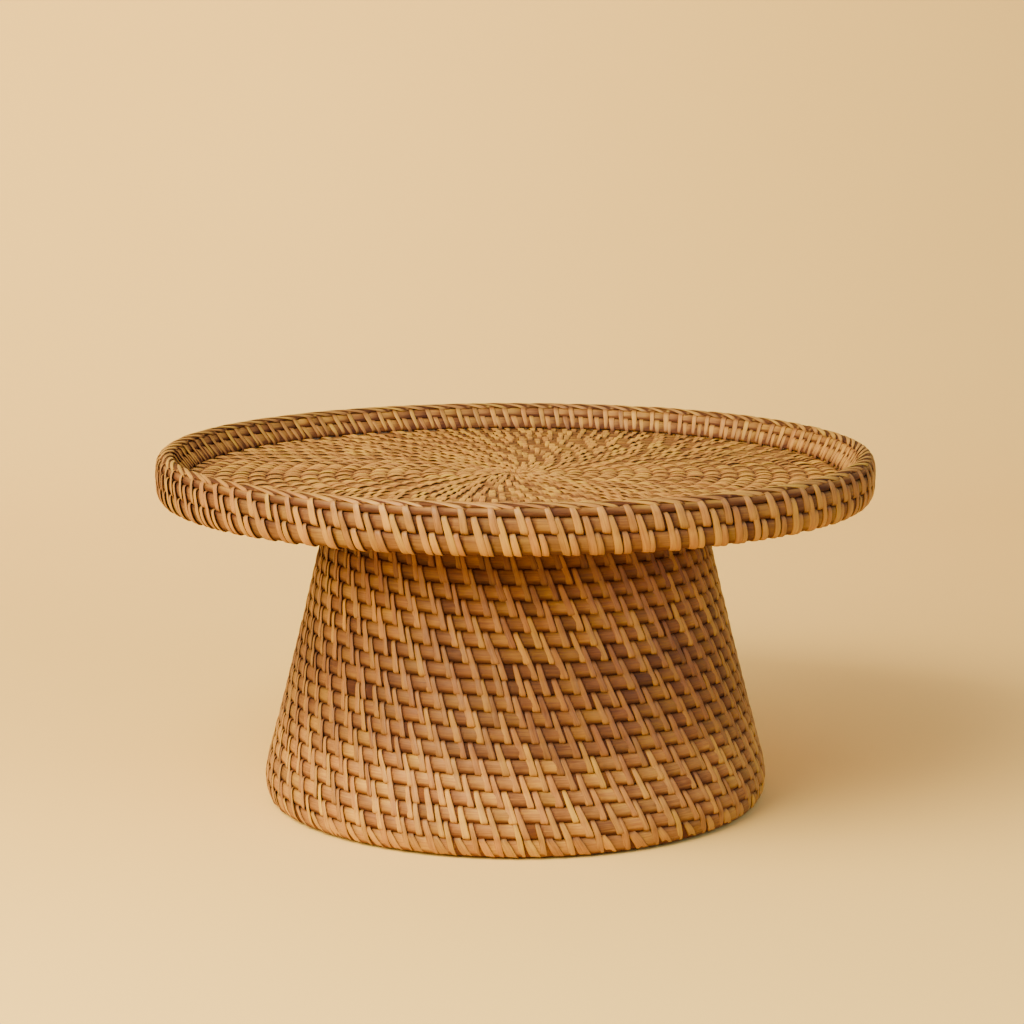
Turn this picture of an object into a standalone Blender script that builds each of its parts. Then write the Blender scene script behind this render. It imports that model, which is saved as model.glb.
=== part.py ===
"""Round wicker coffee table: a woven tray top on a flared woven drum.

Units are metres, +Z is up, and the origin is on the floor under the table's centre. The
woven skin is made of rattan hoops laid on edge, one above the other, and a flat coil under
the tray. Each hoop's solid is one row of the weave: its core with the lacing round it.
Behind the skin stands a frame of rattan poles: three rings, six leaning uprights, two rails
and five slats, and the pole inside the tray's rim, held by screws.
"""

import math

import bmesh
import bpy
from mathutils import Vector

# Overall size
TOP_RADIUS = 0.400
TOTAL_HEIGHT = 0.395
GAP = 0.0004  # between neighbouring pieces

# Flared drum: outer radii of the woven skin, and its rows
FLOOR_RADIUS = 0.277
FOOT_RADIUS = 0.285
FOOT_HEIGHT = 0.030
DRUM_TOP_RADIUS = 0.207
DRUM_TOP_Z = 0.3435
DRUM_WAIST = 0.002  # how far the side pulls in halfway up
BOTTOM_ROW_HEIGHT = 0.0231
DRUM_ROWS = 21
ROW_THICKNESS = 0.008
DRUM_SEGMENTS = 28

# Tray: heights and radii of its woven floor and walls
TRAY_FLOOR_Z = 0.366
COIL_THICKNESS = 0.0074
COIL_PITCH = 0.0192
COIL_TURN_GAP = 0.0008
COIL_RADIUS = 0.370
COIL_EYE_RADIUS = 0.0012
COIL_INNER_TURNS = 5  # turns with half as many segments
COIL_SEGMENTS = 24
COIL_TAPER_TURNS = 0.85  # how far the last turn runs on while it thins out
RIM_SEGMENTS = 40
RIM_POLE_RADIUS = 0.3812
RIM_POLE_Z = 0.3613
RIM_POLE_HALF = 0.0088

# Rows of the rim and of the inner wall, as (radius, height) points. The rounded rows have a
# whole section; the flat ones have the ends of their outer face, and a thickness inwards.
RIM_SECTIONS = {
    "rim_hoop_lower": [(0.3860, 0.3425), (0.3905, 0.3420), (0.3965, 0.3455),
                       (TOP_RADIUS, 0.3605), (0.3920, 0.3605), (0.3885, 0.3480)],
    "rim_hoop_crest": [(0.3800, 0.3876), (0.3955, 0.3876), (0.3945, 0.3925),
                       (0.3905, TOTAL_HEIGHT), (0.3855, TOTAL_HEIGHT), (0.3820, 0.3925)],
}
RIM_BANDS = {
    "rim_hoop_middle": ((TOP_RADIUS, 0.3609), (TOP_RADIUS, 0.3765), ROW_THICKNESS),
    "rim_hoop_upper": ((0.3998, 0.3769), (0.3962, 0.3872), ROW_THICKNESS),
    "wall_hoop_lower": ((0.3715, 0.3664), (0.3808, 0.3794), 0.007),
    "wall_hoop_upper": ((0.3814, 0.3798), (0.3872, 0.3872), 0.007),
}

# Frame of poles inside the drum; "half" is half a pole's thickness
FRAME_SEGMENTS = 24
POLE_SIDES = 8
UPRIGHTS = 6
FIRST_UPRIGHT_ANGLE = math.radians(30)
UPRIGHT_HALF = 0.009
UPRIGHT_INSET = 0.0225  # from the drum's outer face to an upright's centre
BOTTOM_RING_RADIUS = 0.258
BOTTOM_RING_Z = 0.0118
BOTTOM_RING_HALF = 0.0105
MIDDLE_RING_Z = 0.165
MIDDLE_RING_HALF = 0.008
MIDDLE_RING_RADIUS = 0.2104
TOP_RING_RADIUS = 0.1895
TOP_RING_HALF = 0.0095
TOP_RING_Z = DRUM_TOP_Z - TOP_RING_HALF

# Rails across the drum's top ring, and slats across the rails
RAIL_Y = 0.134
RAIL_LENGTH = 0.7056
RAIL_WIDTH = 0.020
RAIL_HEIGHT = 0.008
SLAT_X = (-0.29, -0.15, 0.0, 0.15, 0.29)
SLAT_WIDTH = 0.022
SLAT_HEIGHT = 0.006
SLAT_REACH = 0.366  # radius that a slat's corners reach

# Fasteners
PIN_SIDES = 6
HOLE_CLEARANCE = 0.0003
SCREW_RADIUS = 0.002
SCREW_HEAD_RADIUS = 0.004
SCREW_HEAD_HEIGHT = 0.0025
SCREW_RECESS = 0.0006  # how deep a head lies below its pole's surface
HOLE_OVERRUN = 0.0024  # how far a hole's cutter stands out of the pole
SCREW_OFFSET = 0.002  # from the bottom ring's centre line, towards the uprights
FRAME_SCREW_LENGTH = 0.043
TRAY_SCREW_LENGTH = 0.0235

# Finish of each kind of piece: colour, roughness, metallic
FINISHES = {
    "drum_weave": ((0.47, 0.235, 0.075), 0.50, 0.0),
    "tray_weave": ((0.56, 0.300, 0.110), 0.48, 0.0),
    "pole": ((0.52, 0.330, 0.150), 0.45, 0.0),
    "slat": ((0.50, 0.340, 0.180), 0.60, 0.0),
    "steel": ((0.62, 0.600, 0.560), 0.35, 1.0),
}

ROOT = None  # the empty that every piece hangs on


def clear_scene():
    for item in list(bpy.data.objects):
        bpy.data.objects.remove(item, do_unlink=True)


def make_finish(name, kind):
    colour, roughness, metallic = FINISHES[kind]
    material = bpy.data.materials.new(name + "_finish")
    material.use_nodes = True
    shader = material.node_tree.nodes["Principled BSDF"]
    shader.inputs["Base Color"].default_value = (*colour, 1.0)
    shader.inputs["Roughness"].default_value = roughness
    shader.inputs["Metallic"].default_value = metallic
    return material


def add_piece(name, shape, kind):
    """Turn a bmesh into a named object with its own finish, hung on the root empty."""
    bmesh.ops.recalc_face_normals(shape, faces=shape.faces)
    mesh = bpy.data.meshes.new(name)
    shape.to_mesh(mesh)
    shape.free()
    mesh.shade_smooth()
    mesh.set_sharp_from_angle(angle=math.radians(30))
    mesh.materials.append(make_finish(name, kind))
    piece = bpy.data.objects.new(name, mesh)
    bpy.context.collection.objects.link(piece)
    piece.parent = ROOT
    return piece


def polar(radius, angle, height):
    return Vector((radius * math.cos(angle), radius * math.sin(angle), height))


def turned_ring(name, section, segments, kind):
    """A closed hoop: a section of (radius, height) points spun round the Z axis."""
    shape = bmesh.new()
    points = [shape.verts.new((radius, 0.0, height)) for radius, height in section]
    edges = [shape.edges.new((points[i - 1], points[i])) for i in range(len(points))]
    bmesh.ops.spin(shape, geom=points + edges, cent=(0, 0, 0), axis=(0, 0, 1),
                   angle=2 * math.pi, steps=segments, use_merge=True)
    return add_piece(name, shape, kind)


def octagon(half):
    """Corners of a pole's section, with flats facing along both axes."""
    corner = half / math.cos(math.pi / POLE_SIDES)
    angles = [(i + 0.5) * 2 * math.pi / POLE_SIDES for i in range(POLE_SIDES)]
    return [(corner * math.cos(angle), corner * math.sin(angle)) for angle in angles]


def loft(loops):
    """A closed body through loops of points, with a flat face on each end."""
    shape = bmesh.new()
    rings = [[shape.verts.new(point) for point in loop] for loop in loops]
    count = len(rings[0])
    for low, high in zip(rings, rings[1:]):
        for i in range(count):
            j = (i + 1) % count
            shape.faces.new((low[i], low[j], high[j], high[i]))
    shape.faces.new(rings[0])
    shape.faces.new(rings[-1])
    return shape


# ---------------------------------------------------------------- woven drum

def drum_line(height):
    """Radius of the straight cone that the drum's side follows."""
    share = (height - FOOT_HEIGHT) / (DRUM_TOP_Z - FOOT_HEIGHT)
    return FOOT_RADIUS + (DRUM_TOP_RADIUS - FOOT_RADIUS) * share


def drum_radius(height):
    """Outer radius of the woven drum: tucked in at the floor, a little waisted above."""
    if height < FOOT_HEIGHT:
        tuck = (1 - height / FOOT_HEIGHT) ** 2
        return FOOT_RADIUS - (FOOT_RADIUS - FLOOR_RADIUS) * tuck
    share = (height - FOOT_HEIGHT) / (DRUM_TOP_Z - FOOT_HEIGHT)
    return drum_line(height) - DRUM_WAIST * 4 * share * (1 - share)


def drum_row_edges(row):
    """Lowest and highest point of a row, counted from 1 at the floor."""
    pitch = (DRUM_TOP_Z - BOTTOM_ROW_HEIGHT) / (DRUM_ROWS - 1)
    if row == 1:
        return 0.0, BOTTOM_ROW_HEIGHT - GAP
    low = BOTTOM_ROW_HEIGHT + pitch * (row - 2)
    return low, low + pitch - GAP


def build_drum():
    for row in range(1, DRUM_ROWS + 1):
        low, high = drum_row_edges(row)
        heights = [low, (low + high) / 3, high] if row == 1 else [low, high]
        outside = [(drum_radius(height), height) for height in heights]
        inside = [(radius - ROW_THICKNESS, height) for radius, height in reversed(outside)]
        turned_ring(f"base_hoop_{row:02d}", outside + inside, DRUM_SEGMENTS, "drum_weave")


# ---------------------------------------------------------------- woven tray

def band(low, high, thickness):
    """Section of a row between two points of its outer face, thickness inwards."""
    outside = [low, high]
    inside = [(radius - thickness, height) for radius, height in reversed(outside)]
    return outside + inside


def build_rim():
    for name, section in RIM_SECTIONS.items():
        turned_ring(name, section, RIM_SEGMENTS, "tray_weave")
    for name, (low, high, thickness) in RIM_BANDS.items():
        turned_ring(name, band(low, high, thickness), RIM_SEGMENTS, "tray_weave")
    pole = [(RIM_POLE_RADIUS + x, RIM_POLE_Z + y) for x, y in octagon(RIM_POLE_HALF)]
    turned_ring("rim_pole", pole, RIM_SEGMENTS, "pole")


def coil_loop(turns):
    """Section of the tabletop's coil after this many turns from the centre."""
    outer = min(COIL_PITCH * turns, COIL_RADIUS)
    inner = max(COIL_EYE_RADIUS, COIL_PITCH * (turns - 1) + COIL_TURN_GAP)
    low = TRAY_FLOOR_Z - COIL_THICKNESS
    angle = turns * 2 * math.pi
    corners = ((inner, low), (outer, low), (outer, TRAY_FLOOR_Z), (inner, TRAY_FLOOR_Z))
    return [polar(radius, angle, height) for radius, height in corners]


def build_tabletop_coil():
    """One flat spiral: it starts as a small curl and its last turn tapers to nothing."""
    last_step = int((COIL_RADIUS / COIL_PITCH + COIL_TAPER_TURNS) * COIL_SEGMENTS)
    first_step = COIL_SEGMENTS // 3
    coarse_end = COIL_INNER_TURNS * COIL_SEGMENTS
    steps = list(range(first_step, coarse_end, 2)) + list(range(coarse_end, last_step + 1))
    loops = [coil_loop(step / COIL_SEGMENTS) for step in steps]
    add_piece("tabletop_coil", loft(loops), "tray_weave")


# ---------------------------------------------------------------- pole frame

def upright_angles():
    return [FIRST_UPRIGHT_ANGLE + i * 2 * math.pi / UPRIGHTS for i in range(UPRIGHTS)]


def pole_ring(name, radius, height, half):
    section = [(radius + x, height + y) for x, y in octagon(half)]
    return turned_ring(name, section, FRAME_SEGMENTS, "pole")


def upright_loop(angle, height):
    """A level cut through an upright, whose centre keeps its distance to the drum's side."""
    along = Vector((math.cos(angle), math.sin(angle), 0))
    across = Vector((-math.sin(angle), math.cos(angle), 0))
    centre = polar(drum_line(height) - UPRIGHT_INSET, angle, height)
    return [centre + x * along + y * across for x, y in octagon(UPRIGHT_HALF)]


def build_frame():
    foot = BOTTOM_RING_Z + BOTTOM_RING_HALF + GAP
    head = TOP_RING_Z - TOP_RING_HALF - GAP
    bottom = pole_ring("frame_ring_bottom", BOTTOM_RING_RADIUS, BOTTOM_RING_Z, BOTTOM_RING_HALF)
    pole_ring("frame_ring_middle", MIDDLE_RING_RADIUS, MIDDLE_RING_Z, MIDDLE_RING_HALF)
    top = pole_ring("frame_ring_top", TOP_RING_RADIUS, TOP_RING_Z, TOP_RING_HALF)
    uprights = []
    for number, angle in enumerate(upright_angles(), start=1):
        shape = loft([upright_loop(angle, foot), upright_loop(angle, head)])
        uprights.append(add_piece(f"frame_upright_{number}", shape, "pole"))
    return bottom, top, uprights


def box_piece(name, centre, size, kind):
    shape = bmesh.new()
    bmesh.ops.create_cube(shape, size=1.0)
    bmesh.ops.scale(shape, vec=size, verts=shape.verts)
    bmesh.ops.translate(shape, vec=centre, verts=shape.verts)
    return add_piece(name, shape, kind)


def build_rails_and_slats():
    rail_z = DRUM_TOP_Z + GAP + RAIL_HEIGHT / 2
    slat_z = rail_z + RAIL_HEIGHT / 2 + GAP + SLAT_HEIGHT / 2
    rails = []
    for name, side in (("tray_rail_front", -1), ("tray_rail_back", 1)):
        size = (RAIL_LENGTH, RAIL_WIDTH, RAIL_HEIGHT)
        rails.append(box_piece(name, (0, side * RAIL_Y, rail_z), size, "pole"))
    for number, x in enumerate(SLAT_X, start=1):
        half_length = math.sqrt(SLAT_REACH ** 2 - (abs(x) + SLAT_WIDTH / 2) ** 2)
        size = (SLAT_WIDTH, 2 * half_length, SLAT_HEIGHT)
        box_piece(f"tray_slat_{number}", (x, 0, slat_z), size, "slat")
    return rails


# ---------------------------------------------------------------- fasteners

def pin_profile(radius, head_radius, head_height, length, clearance):
    """Outline of a pin from its head's face to its tip, or of its hole with a clearance."""
    wide = head_radius + clearance
    narrow = radius + clearance
    start = -HOLE_OVERRUN if clearance else 0.0
    seat = head_height + clearance
    end = length + clearance
    return [(wide, start), (wide, seat), (narrow, seat), (narrow, end)]


def pins(placements, profile):
    """Separate turned bodies, one for each (head point, direction), in one bmesh."""
    shape = bmesh.new()
    for point, direction in placements:
        turn = Vector(direction).to_track_quat("Z", "Y").to_matrix()
        rings = []
        for radius, depth in profile:
            ring = []
            for i in range(PIN_SIDES):
                corner = polar(radius, i * 2 * math.pi / PIN_SIDES, depth)
                ring.append(shape.verts.new(Vector(point) + turn @ corner))
            rings.append(ring)
        for low, high in zip(rings, rings[1:]):
            for i in range(PIN_SIDES):
                j = (i + 1) % PIN_SIDES
                shape.faces.new((low[i], low[j], high[j], high[i]))
        shape.faces.new(rings[0])
        shape.faces.new(rings[-1])
    return shape


def fasten(name, placements, length, targets):
    """Add a row of screws, each a piece of its own, and drill the pieces they go through."""
    sizes = (SCREW_RADIUS, SCREW_HEAD_RADIUS, SCREW_HEAD_HEIGHT, length)
    for number, placement in enumerate(placements, start=1):
        add_piece(f"{name}_{number}", pins([placement], pin_profile(*sizes, 0.0)), "steel")
    holes = pins(placements, pin_profile(*sizes, HOLE_CLEARANCE))
    cutter = add_piece(name + "_holes", holes, "steel")
    cutter.hide_render = True
    cutter.display_type = "WIRE"
    for target in targets:
        drill = target.modifiers.new("drill_" + name, "BOOLEAN")
        drill.operation = "DIFFERENCE"
        drill.solver = "EXACT"
        drill.object = cutter


def build_fasteners(bottom, top, uprights, rails):
    """Screws up through the bottom ring into the uprights, and the top ring into the rails."""
    up = (0, 0, 1)
    head_z = BOTTOM_RING_Z - BOTTOM_RING_HALF + SCREW_RECESS
    head_radius = BOTTOM_RING_RADIUS + SCREW_OFFSET
    places = [(polar(head_radius, angle, head_z), up) for angle in upright_angles()]
    fasten("frame_screw", places, FRAME_SCREW_LENGTH, [bottom] + uprights)

    head_z = TOP_RING_Z - TOP_RING_HALF + SCREW_RECESS
    places = [(Vector((x * RAIL_Y, y * RAIL_Y, head_z)), up) for x in (-1, 1) for y in (-1, 1)]
    fasten("tray_screw", places, TRAY_SCREW_LENGTH, [top] + rails)


def main():
    global ROOT
    clear_scene()
    ROOT = bpy.data.objects.new("coffee_table", None)
    bpy.context.collection.objects.link(ROOT)
    build_drum()
    build_rim()
    build_tabletop_coil()
    bottom, top, uprights = build_frame()
    rails = build_rails_and_slats()
    build_fasteners(bottom, top, uprights, rails)


main()
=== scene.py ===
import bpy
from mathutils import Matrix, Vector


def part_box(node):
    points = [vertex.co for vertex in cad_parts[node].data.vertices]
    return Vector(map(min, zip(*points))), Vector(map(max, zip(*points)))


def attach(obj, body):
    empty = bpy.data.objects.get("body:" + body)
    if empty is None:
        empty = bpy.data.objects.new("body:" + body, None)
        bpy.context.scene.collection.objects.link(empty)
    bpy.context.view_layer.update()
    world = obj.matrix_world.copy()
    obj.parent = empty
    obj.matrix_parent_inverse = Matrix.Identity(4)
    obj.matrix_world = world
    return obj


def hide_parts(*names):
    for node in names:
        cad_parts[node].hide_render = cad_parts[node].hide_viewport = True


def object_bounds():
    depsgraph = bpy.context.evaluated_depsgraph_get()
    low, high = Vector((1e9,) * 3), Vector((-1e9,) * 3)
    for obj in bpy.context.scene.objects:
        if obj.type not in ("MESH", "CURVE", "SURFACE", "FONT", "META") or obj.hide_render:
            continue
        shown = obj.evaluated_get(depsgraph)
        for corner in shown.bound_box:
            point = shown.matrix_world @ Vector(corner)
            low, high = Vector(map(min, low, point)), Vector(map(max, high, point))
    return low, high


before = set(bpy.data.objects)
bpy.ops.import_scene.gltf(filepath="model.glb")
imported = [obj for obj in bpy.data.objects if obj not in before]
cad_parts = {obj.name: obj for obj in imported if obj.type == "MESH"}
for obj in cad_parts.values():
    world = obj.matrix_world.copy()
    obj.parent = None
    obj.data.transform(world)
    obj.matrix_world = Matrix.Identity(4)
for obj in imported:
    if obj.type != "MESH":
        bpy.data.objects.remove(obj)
cad_box = [list(corner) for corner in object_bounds()]

import math

import bpy
import numpy as np
from mathutils import Vector

TAU = 2 * math.pi
MM = 0.001

# Strips of peel
STRIP_THICK = 1.2 * MM
STRIP_SECTION = np.array([(-1.0, 0.0), (-0.95, 0.52), (-0.76, 0.84), (-0.30, 0.98), (0.30, 0.98),
                          (0.76, 0.84), (0.95, 0.52), (1.0, 0.0), (0.0, -0.2)])
STRIP_SIDES = np.array([1.0, 0.6, 0.05, 0.0, 0.0, 0.05, 0.6, 1.0, 1.0])  # painted shade at each point: a strip's edges are darker where they meet the gaps
STRIP_SIDE_SHADE = 0.8
STRIP_CLEARANCE = 0.15 * MM  # from the CAD's face to the top of a strip at depth 0
STRIP_TAPER = ((0.0, 0.76), (0.45, 1.0), (1.0, 1.12))  # share of the lean, share of the width
STRIP_ROLL = -0.12  # slope across the strip: one edge stands off the core, the other sinks in

# How unevenly the weave is made, as standard deviations
LEAN_STRAY = 0.08
WIDTH_STRAY = 0.09
THICK_STRAY = 0.08
ROLL_STRAY = 0.05
LIFT_STRAY = 0.08 * MM
STRIP_TONE_STRAY = 0.19
CORE_TONE_STRAY = 0.2
STRIP_WAVE = 0.25 * MM  # how far a strip's run swings sideways
CORE_WAVE = 0.15 * MM  # how far a core drifts in and out
CORE_SWELL = 0.1 * MM  # how far its height varies

# Drum
DRUM_TOP_STITCHES = 50
DRUM_ADD_EVERY = 2  # rows; one more strip each time, because the drum widens
DRUM_STRIP_WIDTH = 7.2 * MM
DRUM_LEAN = 0.36  # in stitches, over the two rows that a strip crosses
DRUM_SHIFT = 0.425  # in stitches, from one row's strips to the next row's
DRUM_CORE_THICK = 6.4 * MM
DRUM_CORE_OVERLAP = 0.50 * MM  # above and below, so that no light shows between rows
DRUM_BULGE = 1.15 * MM
DRUM_ANGLE_STRAY = 0.035  # in stitches
DRUM_SHADED_ROWS = 4  # under the tray
DRUM_SHADE = 0.9
DRUM_STRIP_SHADE = 0.7  # share of the shade that the strips take
DRUM_STAIN_AND_SHADE = ((0.0, 0.0), (0.09, 0.05), (0.115, 0.70), (0.20, 0.80),
              (0.225, 0.40), (0.26, 0.38), (0.285, 0.70), (0.345, 0.75))  # height, how reddish: up to 0.20 the rattan's own reddish band, higher up painted shade of the tray

# Lowest row of the drum
FOOT_SWELL = 2.2 * MM
FOOT_STRIP_WIDTH = 1.4 * DRUM_STRIP_WIDTH
FOOT_LEAN = 1.3 * DRUM_LEAN
FOOT_CORE_TRIM = 1.5 * MM  # above and below
FOOT_CORE_LIFT = 1.6 * MM

# Rim and inner wall
TRAY_EDGE = cad_box[1][0]  # radius
TRAY_TOP = cad_box[1][2]
RIM_STITCHES = 92
RIM_STEP = TAU / RIM_STITCHES
RIM_SHIFT = 0.43  # in stitches, from one row's strips to the next row's
RIM_STRAY = 0.05  # in stitches
RIM_STAIN = 0.5
RIM_STRIP_WIDTH = 7.8 * MM
RIM_GAPS = 1.6  # how much wider the gaps beside the blocks are than the strips call for
RIM_LOWER_GAPS = 1.4
RIM_SHORT_LEAN = 0.31 * RIM_STEP
RIM_LONG_LEAN = 0.40 * RIM_STEP
CREST_STRIP_WIDTH = 4.6 * MM
CREST_RUN = 3.0 * RIM_STEP  # how far a strip runs round the crest
CREST_SHIFT = -1.7  # in stitches
CREST_TAPER = ((0.0, 0.9), (1.0, 0.9))
WALL_STITCHES = 115
WALL_STEP = TAU / WALL_STITCHES
WALL_SHIFT = -0.45  # in stitches, from the long strips to the short ones
WALL_STRAY = 0.06  # in stitches
WALL_LEAN = 0.26 * WALL_STEP
WALL_STRIP_WIDTH = 6.0 * MM
WALL_STRIP_STAIN = 0.35
WALL_CORE_STAIN = 0.4
WALL_BULGE = 0.3 * MM
CORE_END_SHIFT = 0.02  # in stitches, from a block's end to the strip that starts the next one

# Tabletop
COIL_PITCH = 19.2 * MM
COIL_STRIP_WIDTH = 7.4 * MM
COIL_LEAN = 6.0 * MM
COIL_TAPER = ((0.0, 0.8), (0.5, 1.0), (1.0, 1.0))
COIL_STRAY = 2.0 * MM  # round the circle
COIL_STAIN = 0.32
COIL_CORE_STAIN = 0.25
COIL_SHADE = 0.45  # of the core, all over
COIL_BULGE = 0.7 * MM
COIL_OVERLAP = 0.4 * MM  # of one turn's core with the next
COIL_TUCK = 3.0 * MM  # how far the coil runs on under the inner wall
COIL_START = 0.35  # in turns from the centre
COIL_FIRST = 1.12  # the innermost strip's outer end, in turns
COIL_LAST = 1.98  # the outermost strip's outer end, in turns beyond the edge
COIL_HEART = 0.6 * MM  # radius left bare at the centre
COIL_SAMPLE = 2.4 * MM  # between the core's sections
COIL_SPACING = ((0.02, 11 * MM), (0.06, 18 * MM), (0.12, 25 * MM), (0.20, 30 * MM))

CORE_CORNERS = 18
CORE_SAMPLES = 760  # sections round a hoop
FINE_SAMPLES = 920
BLOCK_SHADE = 0.55  # of a block's end beside the strip that starts there
CORE_POWER = 2.3  # of the section: 2 is an ellipse, more is squarer
COIL_POWER = 2.2
LAYERS = ("grain", "look")  # per-point numbers that the materials read


# ------------------------------------------------------------------ mesh building

class Weave:
    """One piece of weave: strips and cores, with the numbers that their materials read."""

    def __init__(self):
        self.points, self.quads, self.slots, self.grain, self.look = [], [], [], [], []
        self.count = 0

    def add(self, points, closed, slot, along, across, tone, dark, stain_and_shade, hue):
        """points is strips x sections x corners x 3; every section is closed across."""
        strips, sections, corners, _ = points.shape
        index = self.count + np.arange(strips * sections * corners)
        index = index.reshape(strips, sections, corners)
        here = index if closed else index[:, :-1]
        after = np.roll(index, -1, axis=1) if closed else index[:, 1:]
        quads = np.stack([here, np.roll(here, -1, axis=2),
                          np.roll(after, -1, axis=2), after], axis=-1).reshape(-1, 4)
        shape = (strips, sections, corners)
        layer = [np.broadcast_to(a, shape).ravel() for a in (along, across, tone)]
        looks = [np.broadcast_to(a, shape).ravel() for a in (dark, stain_and_shade, hue)]
        self.points.append(points.reshape(-1, 3))
        self.quads.append(quads)
        self.slots.append(np.full(len(quads), slot))
        self.grain.append(np.stack(layer, axis=-1))
        self.look.append(np.stack(looks, axis=-1))
        self.count += strips * sections * corners

    def build(self, name, materials, nodes):
        mesh = bpy.data.meshes.new(name)
        mesh.from_pydata(np.concatenate(self.points), [], np.concatenate(self.quads))
        mesh.polygons.foreach_set("material_index", np.concatenate(self.slots).astype(np.int32))
        for layer, values in zip(LAYERS, (self.grain, self.look)):
            attribute = mesh.attributes.new(layer, "FLOAT_VECTOR", "POINT")
            attribute.data.foreach_set("vector", np.concatenate(values).astype(np.float32).ravel())
        for material in materials:
            mesh.materials.append(material)
        mesh.shade_smooth()
        mesh.update()
        piece = bpy.data.objects.new(name, mesh)
        bpy.context.scene.collection.objects.link(piece)
        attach(piece, "root")
        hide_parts(*nodes)
        return piece


def smooth_path(knots, steps, closed):
    """Points of a Catmull-Rom curve through knots: steps points for each span."""
    knots = np.array(knots, float)
    count = len(knots)
    spans = count if closed else count - 1
    found = []
    for i in range(spans):
        if closed:
            p0, p1, p2, p3 = (knots[(i + k) % count] for k in (-1, 0, 1, 2))
        else:
            p0, p1, p2, p3 = (knots[min(max(i + k, 0), count - 1)] for k in (-1, 0, 1, 2))
        for t in np.arange(steps) / steps:
            found.append(0.5 * (2 * p1 + (p2 - p0) * t + (2 * p0 - 5 * p1 + 4 * p2 - p3) * t * t
                                + (3 * p1 - p0 - 3 * p2 + p3) * t ** 3))
    if not closed:
        found.append(knots[-1])
    return np.array(found)


def strip_directions(points, path, angle, closed):
    """Unit vectors across each strip and out of its upper side, at every section.

    points are the strips' middle lines in space, path is the one that they all follow."""
    if closed:
        tangent = np.roll(points, -1, axis=1) - np.roll(points, 1, axis=1)
        flat = np.roll(path[:, :2], -1, axis=0) - np.roll(path[:, :2], 1, axis=0)
    else:
        tangent = np.gradient(points, axis=1)
        flat = np.gradient(path[:, :2], axis=0)
    tangent /= np.linalg.norm(tangent, axis=-1, keepdims=True)
    flat = flat / np.linalg.norm(flat, axis=-1, keepdims=True)
    out = np.stack([-flat[None, :, 1] * np.cos(angle), -flat[None, :, 1] * np.sin(angle),
                    np.broadcast_to(flat[None, :, 0], angle.shape)], axis=-1)
    side = np.cross(tangent, out)
    side /= np.linalg.norm(side, axis=-1, keepdims=True)
    return side, np.cross(side, tangent)


def lay_strips(weave, knots, angles, lean, width, rng, stain_and_shade, closed=False, steps=2,
               centre=None, taper=STRIP_TAPER, roll=STRIP_ROLL, limit=None):
    """Strips over a path of (radius, height, share of the lean, darkness) knots.

    angles are where the strips start, lean the turn from share 0 to share 1. A strip's
    upper side faces left of the path, seen with radius to the right and height up. With
    centre, a knot's radius counts from that strip's own radius in centre. No strip goes
    beyond the radius limit."""
    path = smooth_path(knots, steps, closed)
    count = len(angles)

    # middle lines
    radius = path[None, :, 0] + (0 if centre is None else np.asarray(centre)[:, None])
    if limit is not None:
        radius = np.minimum(radius, limit)
    height = np.repeat(path[None, :, 1], count, axis=0)
    lean = np.broadcast_to(np.asarray(lean, float), (count,)) * rng.normal(1.0, LEAN_STRAY, count)
    angle = np.asarray(angles)[:, None] + lean[:, None] * path[None, :, 2]
    wobble = rng.normal(0, 1, (count, 3))
    run = np.linspace(0, 1, path.shape[0])
    swing = STRIP_WAVE * wobble[:, 1:2] * np.sin(TAU * run + wobble[:, 2:])
    angle = angle + swing / radius
    points = np.stack([radius * np.cos(angle), radius * np.sin(angle), height], axis=-1)
    side, out = strip_directions(points, path, angle, closed)

    # sections: x runs across the strip, y out of it
    narrow = np.interp(path[:, 2] / path[:, 2].max(), *np.transpose(taper))
    wide = np.clip(rng.normal(1.0, WIDTH_STRAY, count), 0.78, 1.2)
    half = (width / 2 * wide)[:, None] * narrow[None]
    thick = (STRIP_THICK * np.clip(rng.normal(1.0, THICK_STRAY, count), 0.8, 1.2))[:, None]
    tilt = (rng.normal(roll, ROLL_STRAY, count))[:, None]
    x = half[..., None] * STRIP_SECTION[None, None, :, 0]
    y = thick[..., None] * STRIP_SECTION[None, None, :, 1] + x * tilt[..., None]
    y = y + rng.normal(0, LIFT_STRAY, count)[:, None, None]
    cloud = points[:, :, None] + side[:, :, None] * x[..., None] + out[:, :, None] * y[..., None]

    # numbers for the materials
    steps_along = np.linalg.norm(np.diff(points, axis=1), axis=-1)
    along = np.concatenate([np.zeros((count, 1)), np.cumsum(steps_along, axis=1)], axis=1)
    along = along + rng.uniform(0, 40, count)[:, None]
    tone = np.clip(rng.normal(0.5, STRIP_TONE_STRAY, count), 0, 1)
    # painted shade: from the knots where a strip dips into a gap or under a row, and along its
    # edges
    dark = np.clip(path[None, :, 3, None] + STRIP_SIDE_SHADE * STRIP_SIDES, 0, 1)
    hue = rng.uniform(0, 1, (count, 1, 1))
    weave.add(cloud, closed, 0, along[..., None], x, tone[:, None, None], dark, stain_and_shade, hue)


def rise(value, start, length):
    """0 up to start, then smoothly up to 1 over the length."""
    share = np.clip((value - start) / length, 0, 1)
    return share * share * (3 - 2 * share)


def squircle(corners, power):
    """Points round a circle that is pulled out towards the corners of a square."""
    turn = np.arange(corners) * TAU / corners
    c, s = np.cos(turn), np.sin(turn)
    return np.sign(c) * np.abs(c) ** (2 / power), np.sign(s) * np.abs(s) ** (2 / power)


def wrap_angles(angles):
    """The angles with copies one turn before and after, for a search round a circle."""
    angles = np.sort(np.mod(angles, TAU))
    return np.concatenate([angles - TAU, angles, angles + TAU])


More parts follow.
